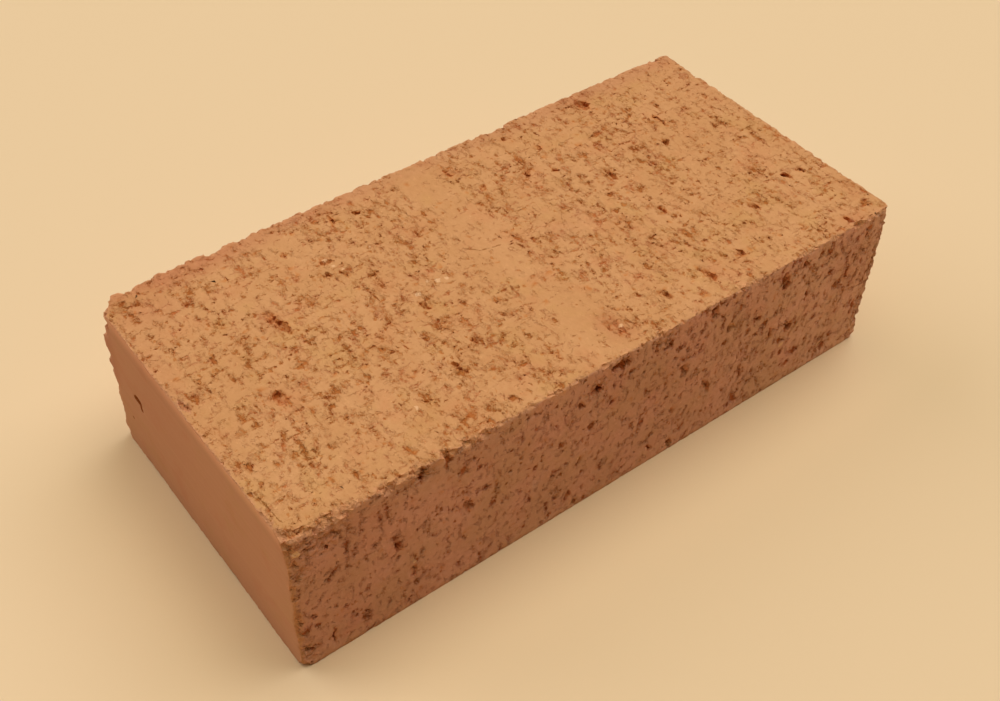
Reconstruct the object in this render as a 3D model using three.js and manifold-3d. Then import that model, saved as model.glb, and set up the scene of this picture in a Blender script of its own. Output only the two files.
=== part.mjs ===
// A solid clay building brick of the 250 x 120 x 65 mm format, lying on its bed.
//
// Stiff clay leaves a die as a column whose section is the bed of the brick, and wires slice the
// column to the brick's height. The two headers keep the smooth skin that the die gave them. The
// stretchers are dragged along the column's travel, and the wires drag the beds across it, so both
// are full of torn pits, long in the direction of the drag. The arrises crumble where a torn face
// meets another.
//
// Millimetres. X runs along the length, Y across the width and Z up, with the origin in the middle
// of the underside.

import Module from "manifold-3d";
import * as THREE from "three";
import { mergeVertices } from "three/addons/utils/BufferGeometryUtils.js";

// The brick's work sizes, and the radius that the die gives the column's corners.
const LENGTH = 250;
const WIDTH = 120;
const HEIGHT = 65;
const DIE_CORNER_RADIUS = 1.2;
const DIE_CORNER_STEPS = 4;

// How an arris has crumbled: the least and the most that is gone, measured square to the arris,
// and the spacing of the facets along the break. The torn arrises are those of bed and stretcher,
// the column's stand at its four corners, and the skin's are those of bed and header.
const TORN_ARRIS = { least: 0.1, most: 1.1, pitch: 3.6 };
const COLUMN_ARRIS = { least: 0.25, most: 1.6, pitch: 3 };
const SKIN_ARRIS = { least: 0.1, most: 0.6, pitch: 6 };
const BREAK_WAVES = [11, 4.7];
const BREAK_SHARES = { wave: 0.6, jitter: 0.8 };
const BREAK_ROUGHNESS = 0.35;
const BAR_SIDE_PER_BREAK = 3;
const OVERRUN = 2;

// Chips out of the arrises and corners. `at` is a place in shares of the half length, half width
// and half height from the middle of the brick, and `reach` is the chip's reach in millimetres
// along X, Y and Z.
const CHIPS = [
  // the corner above the left header and the front stretcher, crumbled under the bed's skin
  { at: [-1, -0.98, 1.04], reach: [4, 6.5, 3.8] },
  { at: [-0.955, -1.01, 1.04], reach: [7, 5, 3.6] },
  { at: [-0.9, -1.02, 1.03], reach: [5, 3, 3] },
  { at: [-1, -1, 0.86], reach: [2.4, 2.6, 4.5] },
  // the corner above the left header and the back stretcher, knocked back down the column's edge
  { at: [-1.03, 1.05, 1.02], reach: [9, 12.5, 10] },
  { at: [-1.025, 1.03, 0.7], reach: [5.6, 5.2, 7] },
  // the two lower corners in front, worn round
  { at: [-1.015, -1.02, -1.03], reach: [6, 4.6, 5] },
  { at: [1.01, -1.02, -1.03], reach: [5, 3.6, 3.6] },
  // the two behind them, and the one at the back over the right header
  { at: [-1.01, 1.02, -1.02], reach: [3.6, 4, 3.4] },
  { at: [1.01, 1.01, -1.03], reach: [4.4, 3, 3.6] },
  { at: [1.01, 1.02, 1.03], reach: [3, 3, 2.4] },
  // notches along the arris behind the upper bed
  { at: [-0.915, 1.01, 1.01], reach: [4.5, 2.6, 3] },
  { at: [-0.665, 1.01, 1.01], reach: [3.4, 2.8, 3] },
  { at: [-0.575, 1.01, 1.01], reach: [3, 1.8, 2] },
  { at: [-0.32, 1.01, 1.01], reach: [3, 1.6, 2.4] },
  { at: [0.02, 1.01, 1.01], reach: [2.4, 1.8, 2] },
  { at: [0.3, 1.01, 1.01], reach: [6, 2.4, 3] },
  { at: [0.79, 1.01, 1.01], reach: [4, 2.4, 3] },
  { at: [0.94, 1.01, 1.01], reach: [2.6, 2.6, 2] },
  // notches along the arris over the right header
  { at: [1.005, 0.69, 1.01], reach: [2.4, 3.4, 2.6] },
  { at: [1.005, -0.59, 1.01], reach: [1.4, 3, 1.6] },
  // bites out of the arris over the front stretcher
  { at: [-0.72, -1.005, 0.97], reach: [3.4, 1.7, 3] },
  { at: [-0.635, -1.005, 0.95], reach: [1.9, 1.8, 5] },
  { at: [-0.56, -1.005, 0.94], reach: [2, 1.5, 4] },
  { at: [-0.46, -1.005, 0.99], reach: [4, 1.6, 2.2] },
  { at: [-0.02, -1.005, 0.87], reach: [4.6, 2, 2.6] },
  { at: [0.31, -1.005, 0.87], reach: [1.9, 1.7, 5.4] },
  { at: [0.865, -1.005, 0.99], reach: [3.4, 2.2, 2] },
  // the break and the step in the column's edge at the front right
  { at: [1.005, -1, 0.83], reach: [2.6, 2.2, 2.6] },
  { at: [1.005, -1, -0.12], reach: [2.8, 2.4, 2.4] },
];
const CHIP_ROUGHNESS = 0.16;

// Torn pits in the upper bed and the front stretcher. `at` is a place in shares of the face's half
// sizes from its middle. `long` lies along the drag, `deep` goes in, and `turn` is the slant from
// the drag in degrees.
const BED_TEARS = [
  { at: [-0.656, 0.283], long: 16, wide: 3.2, deep: 1.5, turn: 10 },
  { at: [-0.784, -0.2], long: 9, wide: 4, deep: 1.4, turn: -14 },
  { at: [-0.435, 0.55], long: 6, wide: 5, deep: 1.3, turn: 0 },
  { at: [-0.46, 0.45], long: 3, wide: 3.4, deep: 2, turn: 20 },
  { at: [-0.415, 0.4], long: 5.4, wide: 2.4, deep: 1.7, turn: 0 },
  { at: [-0.315, -0.06], long: 6, wide: 3, deep: 1.8, turn: -8 },
  { at: [-0.33, -0.23], long: 9, wide: 2.2, deep: 1, turn: -10 },
  { at: [-0.325, 0.83], long: 7, wide: 2, deep: 1.4, turn: 6 },
  { at: [-0.255, 0.8], long: 3.2, wide: 2.6, deep: 1.8, turn: 30 },
  { at: [-0.51, 0.73], long: 4, wide: 2.2, deep: 1.2, turn: 0 },
  { at: [-0.372, -0.55], long: 10, wide: 2, deep: 1.2, turn: 12 },
  { at: [-0.28, -0.45], long: 5, wide: 3.6, deep: 1.1, turn: 70 },
  { at: [-0.985, 0.03], long: 9, wide: 2.6, deep: 1.3, turn: 10 },
  { at: [-0.44, -0.28], long: 4.6, wide: 2, deep: 1.4, turn: 0 },
  { at: [-0.15, -0.8], long: 6, wide: 2, deep: 1.2, turn: 20 },
  { at: [0.06, 0.79], long: 6, wide: 3.6, deep: 1.2, turn: 0 },
  { at: [0.29, 0.87], long: 2.8, wide: 1.9, deep: 1.7, turn: 0 },
  { at: [0.35, 0.68], long: 5, wide: 2.4, deep: 1.2, turn: 0 },
  { at: [0.325, 0.45], long: 4.6, wide: 2, deep: 1.5, turn: 10 },
  { at: [0.24, 0.51], long: 4.4, wide: 2, deep: 1.5, turn: -12 },
  { at: [0.104, 0.57], long: 5, wide: 2.4, deep: 1.3, turn: 0 },
  { at: [0.6, 0.865], long: 6.4, wide: 5.6, deep: 2.2, turn: 0 },
  { at: [0.442, 0.22], long: 11, wide: 2.6, deep: 1.6, turn: 0 },
  { at: [0.74, 0.45], long: 11, wide: 1.9, deep: 1.5, turn: 0 },
  { at: [0.683, 0.27], long: 5, wide: 3, deep: 2.6, turn: -15 },
  { at: [0.456, -0.21], long: 5.4, wide: 2.2, deep: 1.7, turn: 0 },
  { at: [0.225, -0.78], long: 6.4, wide: 3.2, deep: 1.5, turn: 12 },
  { at: [0.035, -0.78], long: 13, wide: 5, deep: 1, turn: 6 },
  { at: [0.372, -0.79], long: 13, wide: 3, deep: 1.6, turn: 9 },
  { at: [0.505, -0.765], long: 4.6, wide: 2.6, deep: 1.7, turn: 0 },
  { at: [0.725, -0.82], long: 4, wide: 3.2, deep: 1.5, turn: 0 },
  { at: [0.856, -0.41], long: 5.4, wide: 3.4, deep: 1.6, turn: 25 },
  { at: [0.912, -0.43], long: 5.6, wide: 2, deep: 1.5, turn: 12 },
  { at: [0.68, -0.53], long: 6, wide: 2.4, deep: 1.4, turn: 8 },
  { at: [0.855, -0.93], long: 4.4, wide: 3.6, deep: 1.8, turn: 0 },
  { at: [0.94, 0.49], long: 4, wide: 1.8, deep: 1.5, turn: 0 },
];
const STRETCHER_TEARS = [
  { at: [0.586, 0.75], long: 11, wide: 4, deep: 2.8, turn: 12 },
  { at: [0.656, 0.82], long: 4.4, wide: 4, deep: 3, turn: 0 },
  { at: [0.696, 0.32], long: 6.6, wide: 2, deep: 1.8, turn: 0 },
  { at: [0.646, -0.05], long: 6, wide: 4.8, deep: 1.7, turn: 0 },
  { at: [0.572, 0], long: 8, wide: 2.6, deep: 1.6, turn: 4 },
  { at: [0.863, 0.29], long: 13, wide: 1.9, deep: 1.6, turn: 3 },
  { at: [0.92, 0.52], long: 2, wide: 7, deep: 1.2, turn: 0 },
  { at: [0.915, 0.76], long: 3.4, wide: 2.2, deep: 1.6, turn: 0 },
  { at: [0.5, 0.37], long: 3.4, wide: 3, deep: 1.9, turn: 30 },
  { at: [0.384, 0.49], long: 4.6, wide: 4, deep: 1.9, turn: -15 },
  { at: [0.224, 0.23], long: 7, wide: 4.4, deep: 1.5, turn: 10 },
  { at: [0.2, -0.31], long: 3.6, wide: 2.6, deep: 1.9, turn: 20 },
  { at: [0.327, -0.26], long: 10, wide: 2.8, deep: 1.5, turn: 14 },
  { at: [0.46, -0.35], long: 8, wide: 3, deep: 1.4, turn: 0 },
  { at: [0.15, 0.75], long: 2.6, wide: 5, deep: 1.3, turn: 0 },
  { at: [0.105, 0.8], long: 7, wide: 2.6, deep: 1.3, turn: 8 },
  { at: [0.212, -0.89], long: 5.6, wide: 4, deep: 1.7, turn: 0 },
  { at: [0.13, -0.77], long: 6, wide: 1.8, deep: 1.2, turn: 40 },
  { at: [-0.1, 0.69], long: 6, wide: 6.6, deep: 1.6, turn: 30 },
  { at: [-0.144, 0.6], long: 5.4, wide: 2.6, deep: 1.5, turn: 10 },
  { at: [-0.035, 0.39], long: 3.4, wide: 3, deep: 1.2, turn: 35 },
  { at: [-0.136, -0.28], long: 5, wide: 2.4, deep: 1.6, turn: -10 },
  { at: [-0.208, -0.66], long: 3, wide: 2.8, deep: 1.7, turn: 0 },
  { at: [-0.168, -0.74], long: 4.6, wide: 2.4, deep: 1.8, turn: -8 },
  { at: [-0.14, -0.9], long: 3.4, wide: 3.8, deep: 1.6, turn: 0 },
  { at: [-0.504, 0.06], long: 7, wide: 5, deep: 1.4, turn: 0 },
  { at: [-0.712, 0.1], long: 7, wide: 2.6, deep: 1.8, turn: 0 },
  { at: [-0.664, -0.46], long: 6, wide: 3, deep: 1.5, turn: 0 },
  { at: [-0.904, -0.73], long: 10, wide: 1.9, deep: 1.5, turn: 0 },
  { at: [-0.975, -0.72], long: 6, wide: 1.6, deep: 1.4, turn: 50 },
  { at: [-0.955, -0.25], long: 4, wide: 2.2, deep: 1.4, turn: 15 },
  { at: [-0.9, 0.65], long: 2.6, wide: 1.5, deep: 1.6, turn: 0 },
  { at: [-0.985, 0.66], long: 7, wide: 2.6, deep: 1.4, turn: 0 },
  { at: [0.945, -0.38], long: 9, wide: 2, deep: 1.6, turn: 0 },
  { at: [0.84, -0.82], long: 4.6, wide: 2.2, deep: 1.5, turn: 8 },
];

// The left header's one tear through the die skin, and the dimple under it.
const HEADER_TEARS = [
  { at: [-0.706, -0.03], long: 7, wide: 2, deep: 1.8, turn: 44 },
  { at: [-0.8, -0.33], long: 2, wide: 1.4, deep: 0.7, turn: 0 },
];

// The underside and the back stretcher are torn in the same way, with one tear to each cell of a
// grid of about this spacing, and this margin of the cell left round it.
const TEAR_SPACING = 26;
const TEAR_MARGIN = 0.15;
const TEAR_SIZES = { long: [3, 10], wide: [1.8, 3.4], deep: [1, 2.2], turn: [-14, 14] };

// Every tear is steep at one end and runs out at the other. A long one has more facets round it.
const TEAR_LEAN = 0.5;
const TEAR_ROUGHNESS = 0.16;
const TEAR_SIDES = 7;
const LONG_TEAR = { from: 9, sides: 10 };

const CLAY_COLOUR = 0xc98d5c;
const CLAY_ROUGHNESS = 0.92;

const wasm = await Module();
wasm.setup();

// Even random numbers from 0 to 1, the same on every run.
function seededRandom(seed) {
  let state = seed;
  return () => {
    state = (state * 1664525 + 1013904223) % 4294967296;
    return state / 4294967296;
  };
}

function between(random, low, high) {
  return low + (high - low) * random();
}

// The geometry with position alone, and its shared corners merged.
function merged(geometry) {
  geometry.deleteAttribute("normal");
  geometry.deleteAttribute("uv");
  return mergeVertices(geometry);
}

function solidOf(geometry) {
  const mesh = new wasm.Mesh({
    numProp: 3,
    vertProperties: new Float32Array(geometry.attributes.position.array),
    triVerts: new Uint32Array(geometry.index.array),
  });
  return new wasm.Manifold(mesh);
}

function geometryOf(solid) {
  const mesh = solid.getMesh();
  const geometry = new THREE.BufferGeometry();
  geometry.setAttribute("position", new THREE.BufferAttribute(mesh.vertProperties, 3));
  geometry.setIndex(new THREE.BufferAttribute(mesh.triVerts, 1));
  return geometry;
}

// The length of column between two wires, with the die's corners.
function slicedColumn() {
  const x = LENGTH / 2;
  const y = WIDTH / 2;
  const r = DIE_CORNER_RADIUS;
  const section = new THREE.Shape();
  section.absarc(x - r, -y + r, r, -Math.PI / 2, 0);
  section.absarc(x - r, y - r, r, 0, Math.PI / 2);
  section.absarc(-x + r, y - r, r, Math.PI / 2, Math.PI);
  section.absarc(-x + r, -y + r, r, Math.PI, 1.5 * Math.PI);
  section.closePath();
  const column = new THREE.ExtrudeGeometry(section, {
    depth: HEIGHT,
    bevelEnabled: false,
    curveSegments: DIE_CORNER_STEPS,
  });
  return solidOf(merged(column));
}

// A turn that lays a piece's own X, Y and Z along three directions of the brick.
function turnTo(x, y, z) {
  return new THREE.Matrix4().makeBasis(
    new THREE.Vector3(...x),
    new THREE.Vector3(...y),
    new THREE.Vector3(...z),
  );
}

// A point in shares of the half length, half width and half height from the brick's middle.
function pointAt([shareX, shareY, shareZ]) {
  return new THREE.Vector3(
    (shareX * LENGTH) / 2,
    (shareY * WIDTH) / 2,
    (HEIGHT * (1 + shareZ)) / 2,
  );
}

// What breaks off along an arris: a bar centred on it, with Z straight out of the brick, whose
// underside waves up and down between the least and the most of the break.
function crumbledBar(length, arris, random) {
  const reach = length + 2 * OVERRUN;
  const side = BAR_SIDE_PER_BREAK * arris.most;
  const steps = Math.round(reach / arris.pitch);
  const bar = merged(new THREE.BoxGeometry(reach, side, side, steps, 2, 1));
  const point = bar.attributes.position;
  const start = between(random, 0, 2 * Math.PI);
  const mean = (arris.least + arris.most) / 2;
  const swing = (arris.most - arris.least) / 2;
  for (let i = 0; i < point.count; i += 1) {
    const x = point.getX(i);
    const wave = Math.sin(start + x / BREAK_WAVES[0]) * Math.cos(x / BREAK_WAVES[1]);
    const jitter = between(random, -1, 1);
    const height = BREAK_SHARES.wave * wave + BREAK_SHARES.jitter * jitter;
    const depth = mean + swing * THREE.MathUtils.clamp(height, -1, 1);
    if (point.getZ(i) < 0) {
      point.setZ(i, -depth);
      point.setY(i, point.getY(i) + BREAK_ROUGHNESS * between(random, -1, 1));
    }
  }
  return bar;
}

// The round shape with an uneven surface, and with the given reach along each axis.
function lump(round, reach, roughness, random) {
  const shape = merged(round);
  const point = shape.attributes.position;
  for (let i = 0; i < point.count; i += 1) {
    const swell = 1 + roughness * between(random, -1, 1);
    point.setXYZ(
      i,
      point.getX(i) * reach[0] * swell,
      point.getY(i) * reach[1] * swell,
      point.getZ(i) * reach[2] * swell,
    );
  }
  return shape;
}

// The twelve arrises. Each runs along one axis, and `sides` says which side of the brick it is on
// along the other two.
function brokenArrises(random) {
  const bars = [];
  for (const [first, second] of [[-1, -1], [-1, 1], [1, -1], [1, 1]]) {
    bars.push({ along: 0, sides: [0, first, second], length: LENGTH, arris: TORN_ARRIS });
    bars.push({ along: 1, sides: [first, 0, second], length: WIDTH, arris: SKIN_ARRIS });
    bars.push({ along: 2, sides: [first, second, 0], length: HEIGHT, arris: COLUMN_ARRIS });
  }
  return bars.map(({ along, sides, length, arris }) => {
    const run = new THREE.Vector3().setComponent(along, 1);
    const outward = new THREE.Vector3(...sides).normalize();
    const across = new THREE.Vector3().crossVectors(outward, run);
    const turn = turnTo(run.toArray(), across.toArray(), outward.toArray());
    const bar = crumbledBar(length, arris, random);
    bar.applyMatrix4(turn.setPosition(pointAt(sides)));
    return solidOf(bar);
  });
}

function chips(random) {
  return CHIPS.map(({ at, reach }) => {
    const chip = lump(new THREE.IcosahedronGeometry(1, 1), reach, CHIP_ROUGHNESS, random);
    const { x, y, z } = pointAt(at);
    return solidOf(chip.translate(x, y, z));
  });
}

// The faces that tear: half the face across the drag and along it, the face's middle, and the turn
// that lays X across the drag, Y along it and Z out of the face.
const FACES = {
  upperBed: {
    half: [LENGTH / 2, WIDTH / 2],
    middle: [0, 0, 1],
    turn: turnTo([1, 0, 0], [0, 1, 0], [0, 0, 1]),
  },
  lowerBed: {
    half: [LENGTH / 2, WIDTH / 2],
    middle: [0, 0, -1],
    turn: turnTo([-1, 0, 0], [0, 1, 0], [0, 0, -1]),
  },
  frontStretcher: {
    half: [LENGTH / 2, HEIGHT / 2],
    middle: [0, -1, 0],
    turn: turnTo([1, 0, 0], [0, 0, 1], [0, -1, 0]),
  },
  backStretcher: {
    half: [LENGTH / 2, HEIGHT / 2],
    middle: [0, 1, 0],
    turn: turnTo([-1, 0, 0], [0, 0, 1], [0, 1, 0]),
  },
  leftHeader: {
    half: [WIDTH / 2, HEIGHT / 2],
    middle: [-1, 0, 0],
    turn: turnTo([0, -1, 0], [0, 0, 1], [-1, 0, 0]),
  },
};

// One torn pit: a lump sunk to its middle in the face, with its deepest point pushed along the drag
// so that it is steep at one end and runs out at the other.
function tear(face, { at, long, wide, deep, turn }, random) {
  const sides = long < LONG_TEAR.from ? TEAR_SIDES : LONG_TEAR.sides;
  const round = new THREE.SphereGeometry(1, sides, 4).rotateX(Math.PI / 2);
  const pit = lump(round, [wide / 2, long / 2, deep], TEAR_ROUGHNESS, random);
  pit.applyMatrix4(new THREE.Matrix4().makeShear(0, 0, 0, 0, 0, TEAR_LEAN));
  pit.rotateZ(THREE.MathUtils.degToRad(turn));
  pit.translate(at[0] * face.half[0], at[1] * face.half[1], 0);
  pit.applyMatrix4(face.turn.clone().setPosition(pointAt(face.middle)));
  return solidOf(pit);
}

// Tears spread over a face, one in each cell of a grid and anywhere within it.
function spreadTears(face, random) {
  const columns = Math.round((2 * face.half[0]) / TEAR_SPACING);
  const rows = Math.round((2 * face.half[1]) / TEAR_SPACING);
  const tears = [];
  for (let column = 0; column < columns; column += 1) {
    for (let row = 0; row < rows; row += 1) {
      const at = [
        (2 * (column + between(random, TEAR_MARGIN, 1 - TEAR_MARGIN))) / columns - 1,
        (2 * (row + between(random, TEAR_MARGIN, 1 - TEAR_MARGIN))) / rows - 1,
      ];
      const size = Object.entries(TEAR_SIZES).map(([name, [low, high]]) => {
        return [name, between(random, low, high)];
      });
      tears.push(tear(face, { at, ...Object.fromEntries(size) }, random));
    }
  }
  return tears;
}

function placedTears(face, places, random) {
  return places.map((place) => tear(face, place, random));
}

function brickGeometry() {
  const losses = [
    ...brokenArrises(seededRandom(11)),
    ...chips(seededRandom(23)),
    ...placedTears(FACES.upperBed, BED_TEARS, seededRandom(37)),
    ...placedTears(FACES.frontStretcher, STRETCHER_TEARS, seededRandom(41)),
    ...placedTears(FACES.leftHeader, HEADER_TEARS, seededRandom(43)),
    ...spreadTears(FACES.backStretcher, seededRandom(53)),
    ...spreadTears(FACES.lowerBed, seededRandom(61)),
  ];
  return geometryOf(losses.reduce((brick, loss) => brick.subtract(loss), slicedColumn()));
}

const brick = new THREE.Mesh(
  brickGeometry(),
  new THREE.MeshStandardMaterial({ color: CLAY_COLOUR, roughness: CLAY_ROUGHNESS, metalness: 0 }),
);
brick.name = "brick";

const part = new THREE.Group();
part.add(brick);

export default part;
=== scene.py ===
"""The looks of a fired clay brick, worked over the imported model.

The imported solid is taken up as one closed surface, torn further on its beds and stretchers, broken
along its arrises and dressed in fired clay. Lengths in the tables are millimetres, and the brick's
own frame is kept: X along the length, Y across the width, Z up from the underside.
"""

from types import SimpleNamespace

import bmesh
import bpy
import numpy as np
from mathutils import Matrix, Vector


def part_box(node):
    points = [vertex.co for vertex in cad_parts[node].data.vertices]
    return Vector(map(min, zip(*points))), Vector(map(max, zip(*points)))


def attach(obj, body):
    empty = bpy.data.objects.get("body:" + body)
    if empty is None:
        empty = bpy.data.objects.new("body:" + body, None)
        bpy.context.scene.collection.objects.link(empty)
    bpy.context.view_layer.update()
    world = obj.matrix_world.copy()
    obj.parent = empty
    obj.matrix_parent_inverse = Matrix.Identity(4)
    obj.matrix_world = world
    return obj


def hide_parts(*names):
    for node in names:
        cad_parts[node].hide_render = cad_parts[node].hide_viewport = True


MM = 0.001

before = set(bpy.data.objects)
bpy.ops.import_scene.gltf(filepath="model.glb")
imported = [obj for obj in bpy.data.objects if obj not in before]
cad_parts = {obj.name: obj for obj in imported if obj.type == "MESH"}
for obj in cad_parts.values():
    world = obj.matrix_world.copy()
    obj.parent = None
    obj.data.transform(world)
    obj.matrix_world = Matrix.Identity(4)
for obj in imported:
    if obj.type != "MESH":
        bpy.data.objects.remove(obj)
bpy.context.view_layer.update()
low_corner, high_corner = (np.array(corner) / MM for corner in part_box("brick"))
MIDDLE = (low_corner + high_corner) / 2
HALF = (high_corner - low_corner) / 2
LENGTHWISE, WIDTHWISE, UPRIGHT = 0, 1, 2

# The surface is taken up at this spacing, thinned to this many triangles, and creased where its
# faces meet at more than this angle in degrees.
SURFACE_SPACING = 0.4
MOST_TRIANGLES = 190000
CREASE_ANGLE = 50

# How far the tears of the drag go in, and how much crumbles off a crumbled place.
TEAR_DEPTH = 0.6
CRUMBLED_DEPTH = 0.8

# How far the soft edge of a mark in the tables reaches beyond its size there.
SOFT_EDGE = 0.4

# How hard the drag pulled at the tears in the tables, and how much harder it pulled at the front
# stretcher's right end than at its left one, which it reaches this far along.
BED_PULL = 0.085
STRETCHER_PULL = 0.13
LEFT_END_PULL = -0.016
RIGHT_END_PULL = 0.03
RIGHT_END = 80

# The quiet band across the beds: where it is, how far it goes each way, how wide its edge is, and
# how much less the drag pulled at it.
QUIET_BAND = SimpleNamespace(at=-4.5, reach=9, edge=4, less=0.06)

# The tears that the drag left on the upper bed: where, how wide across the drag and how long.
BED_TEARS = [
    (-118, 53, 1.5, 3.5), (-114, 51, 2, 2), (-118, 44, 1.5, 4), (-107, 40, 3, 1.6),
    (-101, 40, 3, 2.4), (-83, 40, 2.6, 3.5), (-76, 41.5, 8, 1.2), (-96.5, 27, 1.2, 4),
    (-103, 18, 3, 4), (-106, 14, 3, 3), (-110, 8, 3, 1.6), (-93.5, 16.5, 1.6, 4),
    (-80, 30.5, 3, 1.6), (-72, 35, 2, 5), (-69, 20, 1.5, 5), (-70, -0.5, 2, 1.5),
    (-70, -6, 1.2, 5), (-60, 8, 4, 1.6), (-46, 18, 3, 2.5), (-86, -4, 2.4, 3.4),
    (-83, 3, 2, 1.6), (-111.5, -13.5, 1.6, 2.4), (-66, -22, 2.4, 2.6), (-84, -20, 8, 1.2),
    (-110, -18, 4, 1.2), (-32, -20, 1.6, 3), (-28, -11, 4, 1.2), (-42, -53.5, 2, 2),
    (-57, -52, 3, 1.6), (-111, -52, 2.6, 1.6), (-94.5, -51, 3, 1.6), (-79.5, -51.5, 2, 4),
    (-118.5, -30, 1.6, 2.4), (-103.5, -40, 1.4, 2), (-104, -36, 1, 4), (-21, 26, 2.4, 5),
    (-13, 28, 2, 2), (-38, 33, 1.2, 5), (-47, -16, 2.4, 4), (-42, -16, 2, 3),
    (-49, -35, 5, 4), (-38, -28, 5, 1.4), (-28, -33, 1, 6), (-21, -35, 2, 2),
    (-10, -35, 2.6, 1.4), (-10, -15, 1.6, 2), (-20, -45, 2, 6), (-62, -40, 4, 4),
    (52.5, 37, 3, 1.4), (47.5, 3.8, 2.4, 1.2), (54, 4, 1.6, 1.2), (59, 0, 4, 3),
    (43, -4, 2.4, 1.6), (36.5, -22, 2, 1.6), (36.5, -24.5, 1.6, 1.2), (21, -24, 2, 6),
    (46, -26, 1.4, 2), (47.5, -30, 1.4, 5), (55, -29, 3, 2), (58, -19, 3, 3),
    (32.5, -33, 2, 2), (27, -35.5, 3, 1.4), (41, -33, 1.4, 4), (42, -42.5, 1.2, 1.4),
    (16.5, -55.5, 3, 2.4), (79, 36, 2.4, 2), (85, 36.5, 2, 1.6), (68, 35, 8, 1.2),
    (73, 18.5, 7, 2.4), (97.5, 32, 1.2, 7), (89, 31, 1.2, 6), (106, 19, 2.4, 1.6),
    (107.5, 13, 1.2, 6), (94, -1, 11, 1.6), (109, 1, 5, 1.6), (114.5, -6, 1.4, 6),
    (100.5, -16, 2, 1.4), (71, -12, 2.4, 3), (72, -3, 2, 2), (76, -36, 6, 1.4),
    (69, -32, 1.6, 3), (75, -46, 7, 2), (93, -55, 4, 2), (117, -37, 2, 6),
    (118, -53, 3, 2), (33, 38, 3, 4), (6.5, 26.5, 1.6, 2), (4.5, -2, 2, 5),
    (10, 0, 1.2, 3), (28, 7, 2, 5), (41, 10, 2, 3), (37, 7.5, 2.4, 1.4),
]

# The same on the front stretcher: how far along, how high, how wide and how long.
STRETCHER_TEARS = [
    (109, 57, 1.4, 4), (96, 57, 2, 4), (98, 47, 4, 1.4), (104, 38, 3, 3),
    (119, 32, 2, 2), (122, 37, 2, 3), (95, 32, 2, 2), (88, 14, 3, 3),
    (85, 9.5, 2.4, 1.6), (102, 5, 1.6, 3), (79, 18, 3, 1.6), (77, 25, 2, 2),
    (67, 40, 3, 4), (46.5, 42, 1.4, 2), (32, 45, 2, 1.4), (33, 50, 2, 2),
    (38.5, 60, 2, 5), (44, 53, 2, 2), (59, 10, 2, 1.6), (57, 7, 2, 2),
    (16, 15, 2, 1.4), (12, 13, 1.2, 3), (-2, 60, 2.4, 1), (3, 55, 3, 1.2),
    (-28, 3.5, 1.6, 2), (-57, 39, 4, 1.4), (-64, 53, 1.6, 3), (-58, 50, 1.4, 1.6),
    (-83, 24, 2, 3), (-79, 62, 1.6, 6), (-70, 62, 1.6, 5), (-92, 56, 1.2, 3),
    (-113.5, 40, 1.2, 4), (-122.5, 19, 3, 1.4), (-53, 29, 2, 1.4), (-35.5, 33.5, 1.6, 1.4),
    (-26, 37.5, 1.4, 2), (-46, 40, 1.4, 1.4), (-38, 19.5, 1.4, 2), (-27, 25, 2, 1.6),
    (-101, 9, 3, 6), (-86, 4, 1.2, 3), (-66, 8, 2, 1.4), (-58, 4, 2, 3),
    (-46, 5, 1.6, 3), (-30, 10, 1.2, 4), (6, 27, 2, 3), (2, 32, 2, 1.6),
    (10, 24, 2, 4), (-7, 13, 1.4, 3), (-13, 39, 1.4, 3), (7, 45, 1.6, 4),
]

# Pale grains of grit that the tears laid bare on those two faces, and how wide they are. They
# stay at least this far under the face.
GRIT_UNDER = 0.1
BED_GRIT = [
    (-38, 1, 2.2), (-32, 4.5, 1.6), (-29, 3, 1.8), (-26, 2, 1.4), (-54, 33.5, 2.0),
    (-53, 29, 1.2), (-51.5, 26, 1.2), (-67, -40, 1.6), (6.5, -49, 1.8), (-38, 30, 1.0),
]
STRETCHER_GRIT = [
    (83.5, 60, 1.8), (67, 41.5, 1.2), (-83.5, 24, 1.6), (-83, 22, 1.0), (-122, 57.5, 2.6),
    (79, 22, 2.0), (103, 8, 2.4), (-17, 25.5, 1.4),
]

# Where the front stretcher crumbled: how far along, how high, how wide and how long.
CRUMBLED = [
    (-115, 58, 18, 11), (-122, 48, 5, 8), (-122, 8, 4, 8),
    (-80, 61, 10, 5), (-62, 63, 12, 3), (123.5, 45, 2.4, 36), (122, 14, 5, 20),
    (17, 60, 10, 6), (-12, 56, 9, 6), (103, 8, 8, 7),
]

# How much more or less than the rest the arrises broke, by the sides of the faces that meet there.
ARRIS_WEAR = {
    (-1, 0, 1): 0.25,
    (-1, 0, -1): 0.9,
    (1, 0, 1): 0.8,
    (1, 0, -1): 0.7,
    (0, -1, 1): 0.45,
    (0, -1, -1): 0.12,
    (0, 1, -1): 0.5,
    (-1, -1, 0): 1.0,
    (1, -1, 0): 0.5,
    (-1, 1, 0): 1.0,
    (0, 1, 1): 0.8,
    (1, 1, 0): 1.4,
}

# Where an arris lost a larger bite: the place and its height, how far along it, and how wide.
ARRIS_BITES = [
    (-125, 60, 64, 8, 6.5), (-125, 60, 60.5, 4, 9.5), (-125, 60, 55.5, 5.5, 5.5),
    (-125, 60, 42.5, 4, 3.4), (-125, 60, 35, 2.5, 3), (-125, 60, 27, 5, 3.4),
    (-125, 60, 17, 4, 2.4), (-125, 60, 3.5, 3, 2.6),
    (-114, 60, 65, 4, 3.2), (-82, 60, 65, 3, 2.2),
    (-113, -60, 65, 6, 3.2), (-106, -60, 65, 5, 3.4), (-90, -60, 65, 4, 1.8),
    (-79.5, -60, 65, 4, 3), (-70, -60, 65, 3, 2.6), (-62, -60, 65, 5, 2),
]

# How bluntly a bite ends: at 1 it narrows from its middle on, and above 1 it stays wide longer.
BITE_BLUNTNESS = 1.6

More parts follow.
